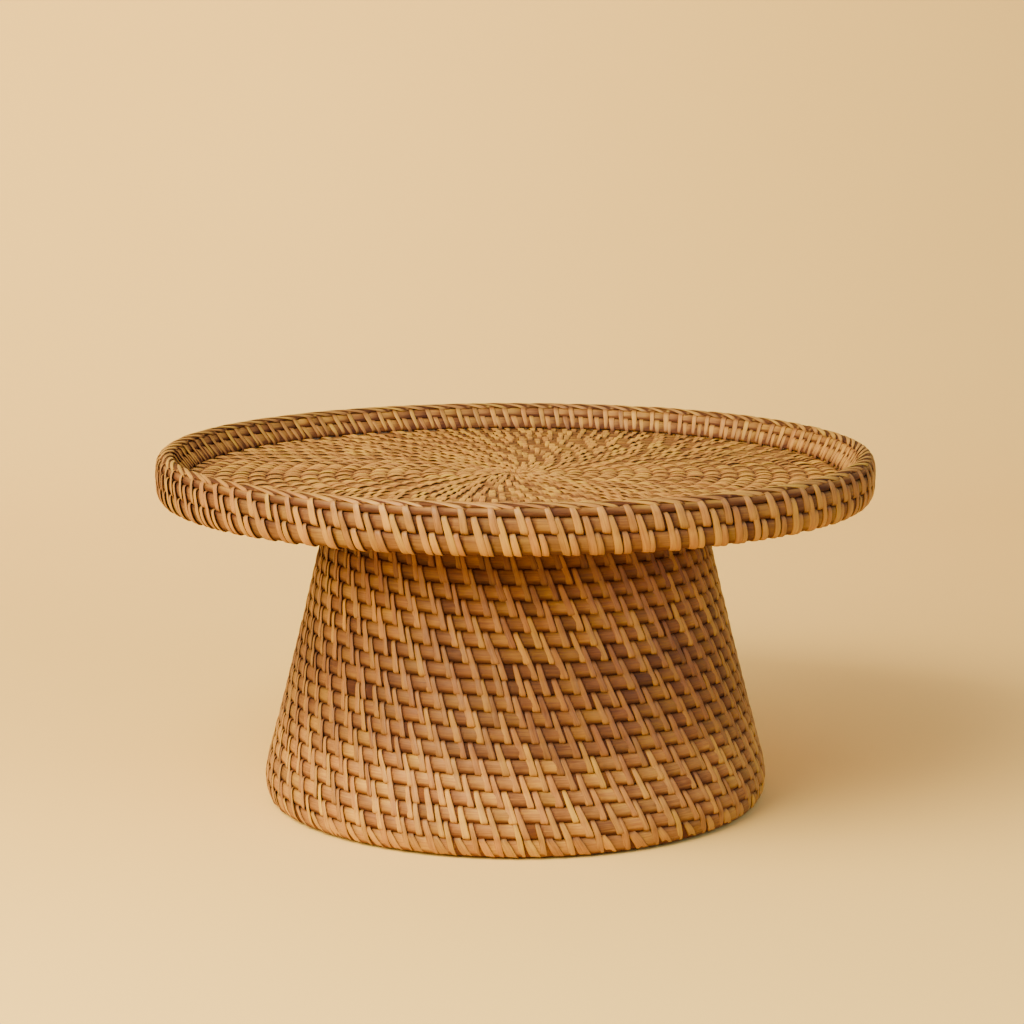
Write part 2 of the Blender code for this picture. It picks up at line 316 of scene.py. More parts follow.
def core_blocks(place, starts, ends, width):
    """How far a core stands out at each place, how dark it is there, and its block's number.

    A block runs from a strip that starts on the core to the next one that ends on it. It rises
    beyond a dark gap beside the first, meets the second at full height, and another dark gap
    follows. Places are measured along the core, and the gaps in strip widths."""
    number = np.clip(np.searchsorted(starts, place), 1, len(starts))
    since_start = (place - starts[number - 1]) / width
    before = np.clip(np.searchsorted(ends, place), 1, len(ends)) - 1
    since_end = (place - ends[before]) / width
    on_block = since_start < since_end
    level = np.where(on_block, rise(since_start, 0.30, 0.6), 1 - rise(since_end, 0, 0.5))
    # painted shade: the starting strip's shadow on the block beside it, a fainter one further
    # along, and shade in the gap after the strip that ends the block
    near = 1 - rise(since_start, 0.48, 0.42)
    wide = BLOCK_SHADE * (1 - rise(since_start, 0.5, 2.0))
    dark = np.where(on_block, np.maximum(near, wide), rise(since_end, 0, 0.4))
    return level, dark, number


def add_core(weave, section, starts, ends, lean, width, rng, stain_and_shade, bulge,
             samples=CORE_SAMPLES, shade=0.0):
    """A hoop of core with blocks between strips that cross it, starting or ending on it.

    section is centre radius, height, half depth, half height and turn. starts and ends are the
    strips' angles at the core's upper edge, and lean is how far they move on to its lower one.
    shade paints shade on the core, stronger towards its lower edge."""
    centre_r, centre_z, half_deep, half_high, turn = section
    angle = (np.arange(samples) * TAU / samples)[:, None]
    c, s = (part[None] for part in squircle(CORE_CORNERS, CORE_POWER))
    level, dark, number = core_blocks(angle - lean * (1 - s) / 2, wrap_angles(starts),
                                      wrap_angles(ends), width / centre_r)
    phase = rng.uniform(0, TAU, 4)
    drift = sum(np.sin(k * angle + p) for k, p in zip((3, 7, 13, 23), phase)) / 4
    across_r = (half_deep + bulge * level) * c
    across_z = (half_high * (0.97 + 0.03 * level) + CORE_SWELL * drift) * s
    radius = centre_r + across_r * math.cos(turn) - across_z * math.sin(turn) + CORE_WAVE * drift
    height = centre_z + across_r * math.sin(turn) + across_z * math.cos(turn)
    points = np.stack([radius * np.cos(angle), radius * np.sin(angle), height], axis=-1)
    tones = np.clip(rng.normal(0.5, CORE_TONE_STRAY, number.max() + 1), 0, 1)
    hues = rng.uniform(0, 1, len(tones))
    # painted shade in the grooves between rows: strong on the core's underside, lighter along its
    # top edge
    under = rise(-s, 0.30, 0.65)
    over = 0.7 * rise(s, 0.80, 0.2)
    dark = np.clip(dark + np.maximum(under, over) + shade * rise(-s, -0.6, 1.6), 0, 1)
    weave.add(points[None], True, 1, angle[None] * centre_r + rng.uniform(0, 40),
              (across_z + across_r * 0.35)[None], tones[number][None], dark[None], stain_and_shade,
              hues[number][None])


# ------------------------------------------------------------------ materials

class Nodes:
    """Short ways to add shader nodes to one material."""

    def __init__(self, name):
        self.material = bpy.data.materials.new(name)
        self.material.use_nodes = True
        self.tree = self.material.node_tree
        self.shader = self.tree.nodes["Principled BSDF"]

    def node(self, kind, **settings):
        made = self.tree.nodes.new(kind)
        for key, value in settings.items():
            setattr(made, key, value)
        return made

    def link(self, source, target):
        self.tree.links.new(source, target)

    def feed(self, socket, value):
        if isinstance(value, bpy.types.NodeSocket):
            self.link(value, socket)
        else:
            socket.default_value = value

    def math(self, operation, a, b=0.0, c=None, clamp=False):
        made = self.node("ShaderNodeMath", operation=operation, use_clamp=clamp)
        self.feed(made.inputs[0], a)
        self.feed(made.inputs[1], b)
        if c is not None:
            self.feed(made.inputs[2], c)
        return made.outputs[0]

    def mix(self, share, a, b, blend="MIX"):
        made = self.node("ShaderNodeMix", data_type="RGBA", blend_type=blend)
        self.feed(made.inputs[0], share)
        self.feed(made.inputs[6], a)
        self.feed(made.inputs[7], b)
        return made.outputs[2]

    def ramp(self, value, stops):
        made = self.node("ShaderNodeValToRGB")
        while len(made.color_ramp.elements) < len(stops):
            made.color_ramp.elements.new(0.5)
        for element, (place, colour) in zip(made.color_ramp.elements, stops):
            element.position = place
            element.color = (*colour, 1)
        self.feed(made.inputs[0], value)
        return made.outputs[0]

    def attribute(self, name):
        made = self.node("ShaderNodeAttribute", attribute_name=name)
        split = self.node("ShaderNodeSeparateXYZ")
        self.link(made.outputs["Vector"], split.inputs[0])
        return split.outputs

    def vector(self, x, y, z):
        made = self.node("ShaderNodeCombineXYZ")
        for socket, value in zip(made.inputs, (x, y, z)):
            self.feed(socket, value)
        return made.outputs[0]

    def noise(self, vector, scale, detail, rough):
        made = self.node("ShaderNodeTexNoise")
        self.link(vector, made.inputs["Vector"])
        made.inputs["Scale"].default_value = scale
        made.inputs["Detail"].default_value = detail
        made.inputs["Roughness"].default_value = rough
        return made.outputs[0]

    def bump(self, height, strength, distance):
        made = self.node("ShaderNodeBump")
        made.inputs["Strength"].default_value = strength
        made.inputs["Distance"].default_value = distance
        self.link(height, made.inputs["Height"])
        self.link(made.outputs[0], self.shader.inputs["Normal"])


PINK = (1.03, 0.94, 0.88, 1)
OLIVE = (0.93, 1.0, 0.78, 1)
# Painted shade: the dark brown that the darkness number pulls the colour towards, in gaps, grooves
# and on the drum's top rows under the tray
PAINTED_SHADE_COLOUR = (0.23, 0.105, 0.06, 1)


def rattan(name, light, mid, deep, red, streaks, roughness, shine, bump):
    """Split rattan whose colour runs from deep over mid to light with each strip's tone.

    Some strips are pinker or more olive than others. The stain number multiplies the colour with
    red: the rattan's own stain, and on the drum's upper rows painted shade as well. The darkness
    number is painted shade: it multiplies the colour towards a dark brown, broken up by the grain.
    streaks is how many there are to a metre of width."""
    n = Nodes(name)
    along, across, tone = n.attribute("grain")
    dark, stain_and_shade, hue = n.attribute("look")
    offset = n.math("MULTIPLY", tone, 30.0)
    streak_place = n.vector(n.math("MULTIPLY", along, 30.0),
                            n.math("MULTIPLY", across, streaks), offset)
    patch_place = n.vector(n.math("MULTIPLY", along, 55.0),
                           n.math("MULTIPLY", across, 110.0), offset)
    fine = n.noise(streak_place, 1.0, 3.0, 0.65)
    broad = n.noise(patch_place, 1.0, 2.0, 0.5)
    value = n.math("MULTIPLY_ADD", fine, 0.75, n.math("MULTIPLY", tone, 0.60))
    value = n.math("MULTIPLY_ADD", broad, 0.50, n.math("SUBTRACT", value, 0.42), clamp=True)
    base = n.ramp(value, [(0.12, deep), (0.5, mid), (0.88, light)])
    pinkness = n.math("MULTIPLY_ADD", hue, 1.8, -1.0, clamp=True)
    base = n.mix(pinkness, base, n.mix(1.0, base, PINK, "MULTIPLY"))
    oliveness = n.math("MULTIPLY_ADD", hue, -2.2, 0.9, clamp=True)
    base = n.mix(oliveness, base, n.mix(1.0, base, OLIVE, "MULTIPLY"))
    tinted = n.mix(stain_and_shade, base, n.mix(1.0, base, (*red, 1), "MULTIPLY"))
    # painted shade from the darkness number, broken up by the grain
    patch = n.math("SUBTRACT", dark, n.math("MULTIPLY_ADD", fine, 0.3, -0.15), clamp=True)
    shaded_colour = n.mix(n.math("MULTIPLY", patch, 0.9), tinted,
                  n.mix(1.0, tinted, PAINTED_SHADE_COLOUR, "MULTIPLY"))
    n.link(shaded_colour, n.shader.inputs["Base Color"])
    rough = n.math("MULTIPLY_ADD", fine, 0.25, roughness - 0.12)
    n.link(n.math("MULTIPLY_ADD", dark, 0.25, rough), n.shader.inputs["Roughness"])
    n.shader.inputs["Specular IOR Level"].default_value = shine
    n.bump(n.math("MULTIPLY_ADD", broad, 0.5, fine), bump, 0.0004)
    return n.material


PEEL_FINISH = {"streaks": 800.0, "roughness": 0.46, "shine": 0.30, "bump": 0.35}
CORE_FINISH = {"streaks": 700.0, "roughness": 0.52, "shine": 0.22, "bump": 0.55}
PEEL = rattan("rattan_peel", light=(0.60, 0.318, 0.029), mid=(0.40, 0.183, 0.036),
              deep=(0.19, 0.070, 0.017), red=(0.47, 0.37, 0.36), **PEEL_FINISH)
CORE = rattan("rattan_core", light=(0.54, 0.276, 0.029), mid=(0.35, 0.153, 0.032),
              deep=(0.16, 0.056, 0.013), red=(0.37, 0.28, 0.29), **CORE_FINISH)
TRAY_PEEL = rattan("tray_peel", light=(0.68, 0.365, 0.030), mid=(0.48, 0.220, 0.036),
                   deep=(0.25, 0.096, 0.018), red=(0.60, 0.46, 0.50), **PEEL_FINISH)
RIM_PEEL = rattan("rim_peel", light=(0.61, 0.340, 0.033), mid=(0.43, 0.204, 0.038),
                  deep=(0.22, 0.090, 0.018), red=(0.60, 0.50, 0.53), **PEEL_FINISH)
RIM_CORE = rattan("rim_core", light=(0.52, 0.282, 0.031), mid=(0.33, 0.155, 0.033),
                  deep=(0.17, 0.066, 0.015), red=(0.54, 0.44, 0.48), **CORE_FINISH)
TRAY_CORE = rattan("tray_core", light=(0.58, 0.300, 0.030), mid=(0.37, 0.165, 0.033),
                   deep=(0.19, 0.068, 0.015), red=(0.54, 0.41, 0.46), **CORE_FINISH)


def pole_material():
    n = Nodes("rattan_pole_skin")
    where = n.node("ShaderNodeTexCoord").outputs["Object"]
    streak = n.noise(where, 60.0, 4.0, 0.6)
    patch = n.noise(where, 9.0, 2.0, 0.5)
    value = n.math("ADD", n.math("MULTIPLY", streak, 0.5), n.math("MULTIPLY", patch, 0.5))
    n.link(n.ramp(value, [(0.3, (0.34, 0.17, 0.06)), (0.5, (0.52, 0.31, 0.13)),
                          (0.75, (0.66, 0.44, 0.21))]), n.shader.inputs["Base Color"])
    n.link(n.math("MULTIPLY_ADD", streak, 0.3, 0.3), n.shader.inputs["Roughness"])
    n.bump(streak, 0.25, 0.0005)
    return n.material


def slat_material():
    n = Nodes("sawn_slat")
    where = n.node("ShaderNodeTexCoord").outputs["Object"]
    stretch = n.node("ShaderNodeMapping")
    stretch.inputs["Scale"].default_value = (220.0, 6.0, 220.0)
    n.link(where, stretch.inputs["Vector"])
    grain = n.noise(stretch.outputs[0], 1.0, 5.0, 0.65)
    n.link(n.ramp(grain, [(0.3, (0.30, 0.17, 0.08)), (0.55, (0.48, 0.31, 0.16)),
                          (0.75, (0.62, 0.44, 0.25))]), n.shader.inputs["Base Color"])
    n.link(n.math("MULTIPLY_ADD", grain, 0.25, 0.5), n.shader.inputs["Roughness"])
    n.bump(grain, 0.35, 0.0004)
    return n.material


def steel_material():
    n = Nodes("zinc_screw")
    where = n.node("ShaderNodeTexCoord").outputs["Object"]
    cloud = n.noise(where, 900.0, 3.0, 0.6)
    n.link(n.ramp(cloud, [(0.3, (0.42, 0.41, 0.38)), (0.7, (0.66, 0.64, 0.60))]),
           n.shader.inputs["Base Color"])
    n.shader.inputs["Metallic"].default_value = 1.0
    n.link(n.math("MULTIPLY_ADD", cloud, 0.25, 0.25), n.shader.inputs["Roughness"])
    n.bump(cloud, 0.1, 0.0001)
    return n.material


# ------------------------------------------------------------------ drum

def ring_radius(node, height):
    """Outer radius of a CAD hoop at one of its edges."""
    points = np.array([v.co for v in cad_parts[node].data.vertices])
    level = points[np.abs(points[:, 2] - height) < 0.2 * MM]
    return float(np.hypot(level[:, 0], level[:, 1]).max())


def even_out(angles):
    """Angles round the circle, each moved halfway to the middle between its neighbours."""
    before = np.roll(angles, 1)
    before[0] -= TAU
    after = np.roll(angles, -1)
    after[-1] += TAU
    return angles + 0.25 * (before + after - 2 * angles)


def drum_starts(rows):
    """For each row from above the top one down, its strips' start angles and the gaps they have.

    A row's strips stand DRUM_SHIFT of a gap further round than those of the row above. Every
    DRUM_ADD_EVERY rows a strip is added somewhere, and the others make room for it."""
    rng = np.random.default_rng(100)
    angles = np.arange(DRUM_TOP_STITCHES) * TAU / DRUM_TOP_STITCHES
    found = []
    for row in range(rows + 1):
        for _ in range(3):
            angles = even_out(angles)
        gaps = np.roll(angles, -1) - angles
        gaps[-1] += TAU
        found.append((angles + rng.normal(0, DRUM_ANGLE_STRAY, len(angles)) * gaps, gaps))
        angles = angles + DRUM_SHIFT * gaps
        if row % DRUM_ADD_EVERY:
            spot = rng.integers(len(angles) - 1)
            angles = np.insert(angles, spot + 1, (angles[spot] + angles[spot + 1]) / 2)
    return found


def darker(knots, shade):
    return [(*place, min(dark + shade, 1.0)) for *place, dark in knots]


def drum_knots(outer, lower, deep, number):
    """A drum strip's way, as lay_strips reads it: down the outside and back up the inside.

    outer and lower give a place on the face of the row that it starts on and of the one below:
    share of the row's height, and millimetres under the strips' surface. deep is the core's
    depth in millimetres. Row 1 is the lowest: its strips go round it alone."""
    if number == 1:
        front = [(*outer(1.015, 3.4), 0.0, 1.0), (*outer(0.99, 1.0), 0.02, 0.8),
                 (*outer(0.90, 0.05), 0.10, 0.25), (*outer(0.72, -0.35), 0.30, 0.0),
                 (*outer(0.5, -0.45), 0.53, 0.0), (*outer(0.28, -0.35), 0.76, 0.0)]
    else:
        front = [(*outer(1.015, 3.4), 0.0, 1.0), (*outer(0.99, 1.0), 0.02, 0.8),
                 (*outer(0.90, 0.05), 0.05, 0.25), (*outer(0.72, -0.35), 0.14, 0.0),
                 (*outer(0.5, -0.45), 0.25, 0.0), (*outer(0.25, -0.35), 0.37, 0.0),
                 (*outer(0.0, 0.05), 0.5, 0.15), (*lower(0.75, -0.35), 0.63, 0.0),
                 (*lower(0.5, -0.45), 0.75, 0.0), (*lower(0.28, -0.35), 0.87, 0.0)]
    if number > 2:
        foot = [(*lower(0.10, 0.05), 0.95, 0.25), (*lower(0.01, 1.0), 0.99, 0.8),
                (*lower(-0.015, deep * 0.6), 1.0, 1.0), (*lower(0.03, deep + 0.1), 1.0, 0.8)]
    else:  # clear of the floor
        foot = [(*lower(0.21, 0.3), 0.90, 0.1), (*lower(0.180, 1.6), 0.97, 0.5),
                (*lower(0.175, deep * 0.62), 1.0, 1.0), (*lower(0.19, deep + 0.2), 1.0, 0.8)]
    inside = [(*lower(0.3, deep + 0.3), 0.85, 0.2), (*lower(0.7, deep + 0.3), 0.65, 0.1)]
    if number > 1:
        inside += [(*lower(1.0, deep + 0.1), 0.5, 0.3), (*outer(0.3, deep + 0.3), 0.35, 0.1),
                   (*outer(0.7, deep + 0.3), 0.15, 0.2)]
    return front + foot + inside + [(*outer(0.97, deep + 0.1), 0.03, 0.8)]


def drum_face(edge, swell):
    """A function that gives radius and height on a row's outer face, as drum_knots wants it."""
    z0, z1, r0, r1 = edge

    def place(share, depth):
        radius = np.interp(share, [0, 0.45, 1], [r0, r0 + (r1 - r0) * 0.45 + swell, r1])
        if share < 0 or share > 1:
            radius = r0 + (r1 - r0) * share
        return radius - STRIP_THICK - STRIP_CLEARANCE - depth * MM, z0 + (z1 - z0) * share
    return place


def build_drum():
    names = sorted(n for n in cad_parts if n.startswith("base_hoop_"))
    rows = len(names)
    edges = {}
    for number, name in enumerate(names, start=1):
        low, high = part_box(name)
        edges[number] = (low.z, high.z, ring_radius(name, low.z), ring_radius(name, high.z))
    faces = {number: drum_face(edges[number], FOOT_SWELL if number == 1 else 0.0)
             for number in edges}
    starts = dict(zip(range(rows + 1, 0, -1), drum_starts(rows)))
    deep = DRUM_CORE_THICK / MM
    for number in range(rows, 0, -1):
        rng = np.random.default_rng(1000 + number)
        weave = Weave()
        z0, z1, r0, r1 = edges[number]
        outer, lower = faces[number], faces[max(number - 1, 1)]
        # the rattan's reddish band, and on the upper rows painted shade of the tray
        stain_and_shade = float(np.interp((z0 + z1) / 2, *np.transpose(DRUM_STAIN_AND_SHADE)))
        shade = float(np.interp(number, [rows - DRUM_SHADED_ROWS, rows], [0.0, DRUM_SHADE]))
        angles, gaps = starts[number]
        above, above_gaps = starts[number + 1]

        mid_r, mid_z = outer(0.5, deep / 2)
        half_high = (z1 - z0) / 2 + DRUM_CORE_OVERLAP
        slope = math.atan2(r0 - r1, z1 - z0)
        lean, width = DRUM_LEAN, DRUM_STRIP_WIDTH
        if number == 1:
            half_high = (z1 - z0) / 2 - FOOT_CORE_TRIM
            mid_z += FOOT_CORE_LIFT
            slope /= 2
            lean, width = FOOT_LEAN, FOOT_STRIP_WIDTH
        half_lean = DRUM_LEAN * TAU / len(angles) / 2
        section = (mid_r, mid_z, DRUM_CORE_THICK / 2, half_high, slope)
        add_core(weave, section, angles, above + DRUM_LEAN / 2 * above_gaps, half_lean,
                 DRUM_STRIP_WIDTH, rng, stain_and_shade, DRUM_BULGE, shade=shade)

        knots = darker(drum_knots(outer, lower, deep, number), DRUM_STRIP_SHADE * shade)
        lay_strips(weave, knots, angles, lean * gaps, width, rng, stain_and_shade, closed=True)
        if number == rows:  # short strips that come down from above the top row
            knots = [(*outer(1.04, 3.0), 0.35, 1.0), (*outer(0.98, 0.2), 0.5, 0.4),
                     (*outer(0.72, -0.35), 0.63, 0.1), (*outer(0.4, -0.4), 0.8, 0.0),
                     (*outer(0.10, 0.05), 0.95, 0.25), (*outer(0.0, 1.4), 1.0, 1.0),
                     (*outer(-0.015, 3.4), 1.0, 1.0)]
            lay_strips(weave, darker(knots, DRUM_STRIP_SHADE * shade), above,
                       DRUM_LEAN * above_gaps, DRUM_STRIP_WIDTH, rng, stain_and_shade)
        weave.build(f"drum_row_{number:02d}", [PEEL, CORE], [names[number - 1]])


# ------------------------------------------------------------------ rim and inner wall

def core_section(inset, drop, half_deep, half_high, turn):
    """A core's section, in millimetres in from the tray's edge and down from its top.

    half_deep and half_high are millimetres too, and turn is in radians."""
    return TRAY_EDGE - inset * MM, TRAY_TOP - drop * MM, half_deep * MM, half_high * MM, turn


def from_edge(knots):
    """Knots that start with millimetres in from the tray's edge and down from its top."""
    return [(TRAY_EDGE - inset * MM, TRAY_TOP - drop * MM, *rest) for inset, drop, *rest in knots]


def spread(rng, count, shift, stray):
    """Angles for strips round the tray, shifted and scattered by shares of their step."""
    return (np.arange(count) + shift + rng.normal(0, stray, count)) * (TAU / count)


def build_rim():
    rng = np.random.default_rng(50)
    materials = [RIM_PEEL, RIM_CORE]
    over_upper = spread(rng, RIM_STITCHES, 0.0, RIM_STRAY)
    over_middle = spread(rng, RIM_STITCHES, RIM_SHIFT, RIM_STRAY)
    over_lower = spread(rng, RIM_STITCHES, 2.1 * RIM_SHIFT, RIM_STRAY)
    crest = spread(rng, RIM_STITCHES, CREST_SHIFT, RIM_STRAY)
    width = RIM_STRIP_WIDTH

    # crest: a bead bound by strips that lie at a shallow angle along it
    weave = Weave()
    add_core(weave, core_section(12.0, 3.8, 6.0, 2.6, 0.10), crest, crest, 0.0, width, rng,
             RIM_STAIN, bulge=0.1 * MM)
    knots = [(17.0, 6.8, 0.0, 1.0), (18.8, 5.4, 0.08, 0.6), (17.6, 3.2, 0.20, 0.0),
             (14.4, 1.6, 0.36, 0.0), (11.0, 1.2, 0.53, 0.0), (8.0, 2.2, 0.70, 0.0),
             (6.1, 3.9, 0.84, 0.05), (5.6, 5.5, 0.93, 0.4), (7.2, 6.6, 1.0, 1.0)]
    lay_strips(weave, from_edge(knots), crest, CREST_RUN, CREST_STRIP_WIDTH, rng, RIM_STAIN,
               steps=3, taper=CREST_TAPER, roll=0.0)
    weave.build("rim_crest", materials, ["rim_hoop_crest"])

    # upper row, and the strips from under the crest over it and the middle row
    weave = Weave()
    add_core(weave, core_section(6.4, 9.3, 2.8, 4.7, 0.35), over_upper,
             over_upper - CORE_END_SHIFT * RIM_STEP, RIM_SHORT_LEAN / 2, RIM_GAPS * width, rng,
             RIM_STAIN, bulge=0.9 * MM, shade=0.9)
    knots = [(10.8, 4.2, 0.0, 1.0), (7.4, 4.2, 0.05, 0.6), (4.4, 5.8, 0.14, 0.1),
             (2.5, 9.2, 0.3, 0.0), (1.6, 13.4, 0.48, 0.15), (0.9, 18.0, 0.62, 0.0),
             (0.8, 23.0, 0.78, 0.0), (1.1, 27.8, 0.93, 0.2), (2.8, 30.0, 0.99, 0.8),
             (6.0, 30.5, 1.0, 1.0)]
    lay_strips(weave, from_edge(knots), over_upper, RIM_SHORT_LEAN, width, rng, RIM_STAIN)
    weave.build("rim_upper", materials, ["rim_hoop_upper"])

    # middle row, and the strips over it and the lower row
    weave = Weave()
    add_core(weave, core_section(5.2, 22.2, 3.0, 8.2, 0.02), over_middle,
             over_upper + RIM_SHORT_LEAN / 2, RIM_SHORT_LEAN / 2, RIM_GAPS * width, rng,
             RIM_STAIN, bulge=1.1 * MM, samples=FINE_SAMPLES)
    knots = [(6.0, 13.8, 0.0, 1.0), (2.8, 14.2, 0.03, 0.7), (1.2, 16.5, 0.1, 0.2),
             (0.7, 21.5, 0.24, 0.0), (0.8, 26.0, 0.37, 0.0), (1.2, 31.2, 0.5, 0.15),
             (1.2, 36.0, 0.62, 0.0), (2.2, 42.0, 0.77, 0.0), (4.8, 47.8, 0.9, 0.05),
             (9.0, 51.8, 0.96, 0.4), (13.2, 51.8, 1.0, 0.8), (15.5, 49.0, 1.0, 1.0)]
    lay_strips(weave, from_edge(knots), over_middle, RIM_LONG_LEAN, width, rng, RIM_STAIN)
    weave.build("rim_middle", materials, ["rim_hoop_middle"])

    # lower row, which curls under, and its own short strips
    weave = Weave()
    add_core(weave, core_section(7.0, 41.3, 3.2, 10.6, -0.28), over_lower,
             over_middle + RIM_LONG_LEAN / 2, RIM_SHORT_LEAN / 2, RIM_LOWER_GAPS * width, rng,
             RIM_STAIN, bulge=1.0 * MM, samples=FINE_SAMPLES)
    knots = [(6.0, 30.2, 0.0, 1.0), (2.8, 30.7, 0.04, 0.7), (1.3, 33.0, 0.15, 0.2),
             (1.4, 38.0, 0.35, 0.0), (2.5, 43.5, 0.58, 0.0), (5.2, 48.8, 0.8, 0.05),
             (9.4, 52.0, 0.93, 0.4), (13.4, 51.8, 1.0, 0.8), (15.7, 49.0, 1.0, 1.0)]
    lay_strips(weave, from_edge(knots), over_lower, 0.7 * RIM_SHORT_LEAN, width, rng, RIM_STAIN)
    weave.build("rim_lower", materials, ["rim_hoop_lower"])


def build_wall():
    """Inner wall: two rows. Going up, its strips lean the way that the drum's do going down."""
    rng = np.random.default_rng(51)
    materials = [TRAY_PEEL, TRAY_CORE]
    long_ones = spread(rng, WALL_STITCHES, 0.0, WALL_STRAY)
    short_ones = spread(rng, WALL_STITCHES, WALL_SHIFT, WALL_STRAY)
    lean, width, end_shift = WALL_LEAN, WALL_STRIP_WIDTH, CORE_END_SHIFT * WALL_STEP

    # lower row, and the short strips over it
    weave = Weave()
    crossings = np.concatenate([long_ones + lean / 2, short_ones + lean])
    add_core(weave, core_section(28.2, 22.3, 2.3, 7.7, -0.62), crossings, crossings - end_shift,
             -lean / 2, width, rng, WALL_CORE_STAIN, WALL_BULGE, samples=FINE_SAMPLES, shade=0.6)
    knots = [(34.5, 30.2, 0.0, 1.0), (34.2, 27.8, 0.1, 0.8), (32.4, 24.8, 0.3, 0.35),
             (29.6, 20.5, 0.6, 0.0), (26.8, 16.7, 0.85, 0.15), (25.2, 15.6, 0.95, 0.8),
             (22.5, 15.4, 1.0, 1.0)]
    lay_strips(weave, from_edge(knots), short_ones, lean, width, rng, WALL_STRIP_STAIN)
    weave.build("wall_lower", materials, ["wall_hoop_lower"])

    # upper row, and the long strips over both
    weave = Weave()
    crossings = long_ones + lean
    add_core(weave, core_section(19.8, 10.9, 2.3, 5.9, -0.60), crossings, crossings - end_shift,
             -lean / 2, width, rng, WALL_CORE_STAIN, WALL_BULGE, samples=FINE_SAMPLES, shade=0.4)
    knots = [(31.0, 28.2, 0.0, 1.0), (32.8, 26.6, 0.05, 0.8), (32.0, 24.4, 0.15, 0.45),
             (29.4, 20.2, 0.35, 0.1), (26.6, 16.0, 0.55, 0.1), (24.2, 12.4, 0.75, 0.0),
             (22.0, 8.8, 0.92, 0.1), (20.4, 6.5, 1.0, 0.5), (17.5, 5.5, 1.0, 1.0)]
    lay_strips(weave, from_edge(knots), long_ones, lean, width, rng, WALL_STRIP_STAIN)
    weave.build("wall_upper", materials, ["wall_hoop_upper"])


# ------------------------------------------------------------------ tabletop

def coil_stitches(turns):
    """Turns from the centre at which the coil's strips end.

    Each is half a step past one of the turn inside, and where those stand too far apart or too
    close, a strip is added or left out, so that the steps stay near COIL_SPACING."""
    found = [COIL_FIRST]
    parent = 0
    while found[-1] < turns:
        radius = COIL_PITCH * max(found[-1], 0.5)
        step = np.interp(radius, *np.transpose(COIL_SPACING)) / (TAU * radius)
        gap = found[parent] + 1 + 0.5 * step - found[-1]
        if gap < 0.5 * step:
            parent += 1
            continue
        if gap > 1.4 * step:
            found.append(found[-1] + min(max(gap / 2, 0.8 * step), step))
            continue
        found.append(found[-1] + min(max(gap, 0.85 * step), 1.15 * step))
        parent += 1
    return np.array(found)


def coil_core(weave, first, last, edge, mid_z, thick, stitches, rng):
    """The coil's core from one place to another, counted in turns from the centre."""
    samples = max(40, int((last - first) * TAU * COIL_PITCH * (last - 0.3) / COIL_SAMPLE))
    place = np.linspace(first, last, samples)
    inner = np.maximum(COIL_PITCH * (place - 1) - COIL_OVERLAP, COIL_HEART)
    outer = np.minimum(COIL_PITCH * place + COIL_OVERLAP, edge)
    half = np.maximum((outer - inner) / 2, 0.2 * MM)[:, None]
    middle = inner[:, None] + half
    c, s = (part[None] for part in squircle(CORE_CORNERS, COIL_POWER))
    round_turn = TAU * np.maximum(middle, 6 * MM)
    ends = stitches - COIL_LEAN / 2 / (TAU * COIL_PITCH * stitches)
    begins = stitches - 1 - COIL_LEAN / (TAU * COIL_PITCH * np.maximum(stitches - 1, 0.7))
    shifted = place[:, None] - COIL_LEAN / 2 / round_turn * (1 + c) / 2
    level, dark, number = core_blocks(shifted, np.sort(begins), np.sort(ends),
                                      COIL_STRIP_WIDTH / round_turn)
    lift = thick / 2 - COIL_BULGE + COIL_BULGE * level
    radius = middle + half * c
    height = mid_z + lift * s * np.where(s > 0, 1, 0.8)
    angle = place[:, None] * TAU
    points = np.stack([radius * np.cos(angle), radius * np.sin(angle), height], axis=-1)
    tones = np.clip(rng.normal(0.5, CORE_TONE_STRAY, number.max() + 1), 0, 1)
    hues = rng.uniform(0, 1, len(tones))
    # painted shade: over the whole core, beside the strips, and towards its edges where one turn
    # meets the next
    dark = np.clip(COIL_SHADE + 0.25 * dark + 0.6 * rise(np.abs(c), 0.6, 0.35), 0, 1)
    along = np.cumsum(np.append(0, np.diff(place) * TAU * middle[1:, 0]))
    weave.add(points[None], False, 1, along[None, :, None] + 3.1 * first, (half * c)[None],
              tones[number][None], dark[None], COIL_CORE_STAIN, hues[number][None])


def coil_knots(reach, top, thick):
    """A tabletop strip's way: out over two turns of the core and back under them.

    Distances run from the strip's outer end inwards to minus reach."""
    crown, dip = top + 0.6 * MM, top - 1.5 * MM
    under = top - thick
    return [(-reach, top - 3.4 * MM, 0.0, 1.0), (-reach + 0.6 * MM, top - 2.2 * MM, 0.0, 0.9),
            (-reach + 2.0 * MM, top - 1.1 * MM, 0.05, 0.5),
            (-reach * 0.86, top + 0.1 * MM, 0.13, 0.0),
            (-reach * 0.75, crown, 0.25, 0.0), (-reach * 0.61, top, 0.40, 0.05),
            (-reach * 0.5, dip, 0.5, 0.45), (-reach * 0.39, top, 0.60, 0.05),
            (-reach * 0.25, crown, 0.75, 0.0), (-reach * 0.14, top + 0.1 * MM, 0.87, 0.0),
            (-2.0 * MM, top - 1.1 * MM, 0.95, 0.5), (-0.6 * MM, top - 2.2 * MM, 1.0, 0.9),
            (0.0, top - 3.4 * MM, 1.0, 1.0), (-0.8 * MM, under + 0.7 * MM, 1.0, 0.9),
            (-3.4 * MM, under, 0.9, 0.3), (-reach * 0.5, under - 0.1 * MM, 0.5, 0.2),
            (-reach + 3.4 * MM, under, 0.1, 0.3), (-reach + 0.8 * MM, under + 0.7 * MM, 0.0, 0.9)]


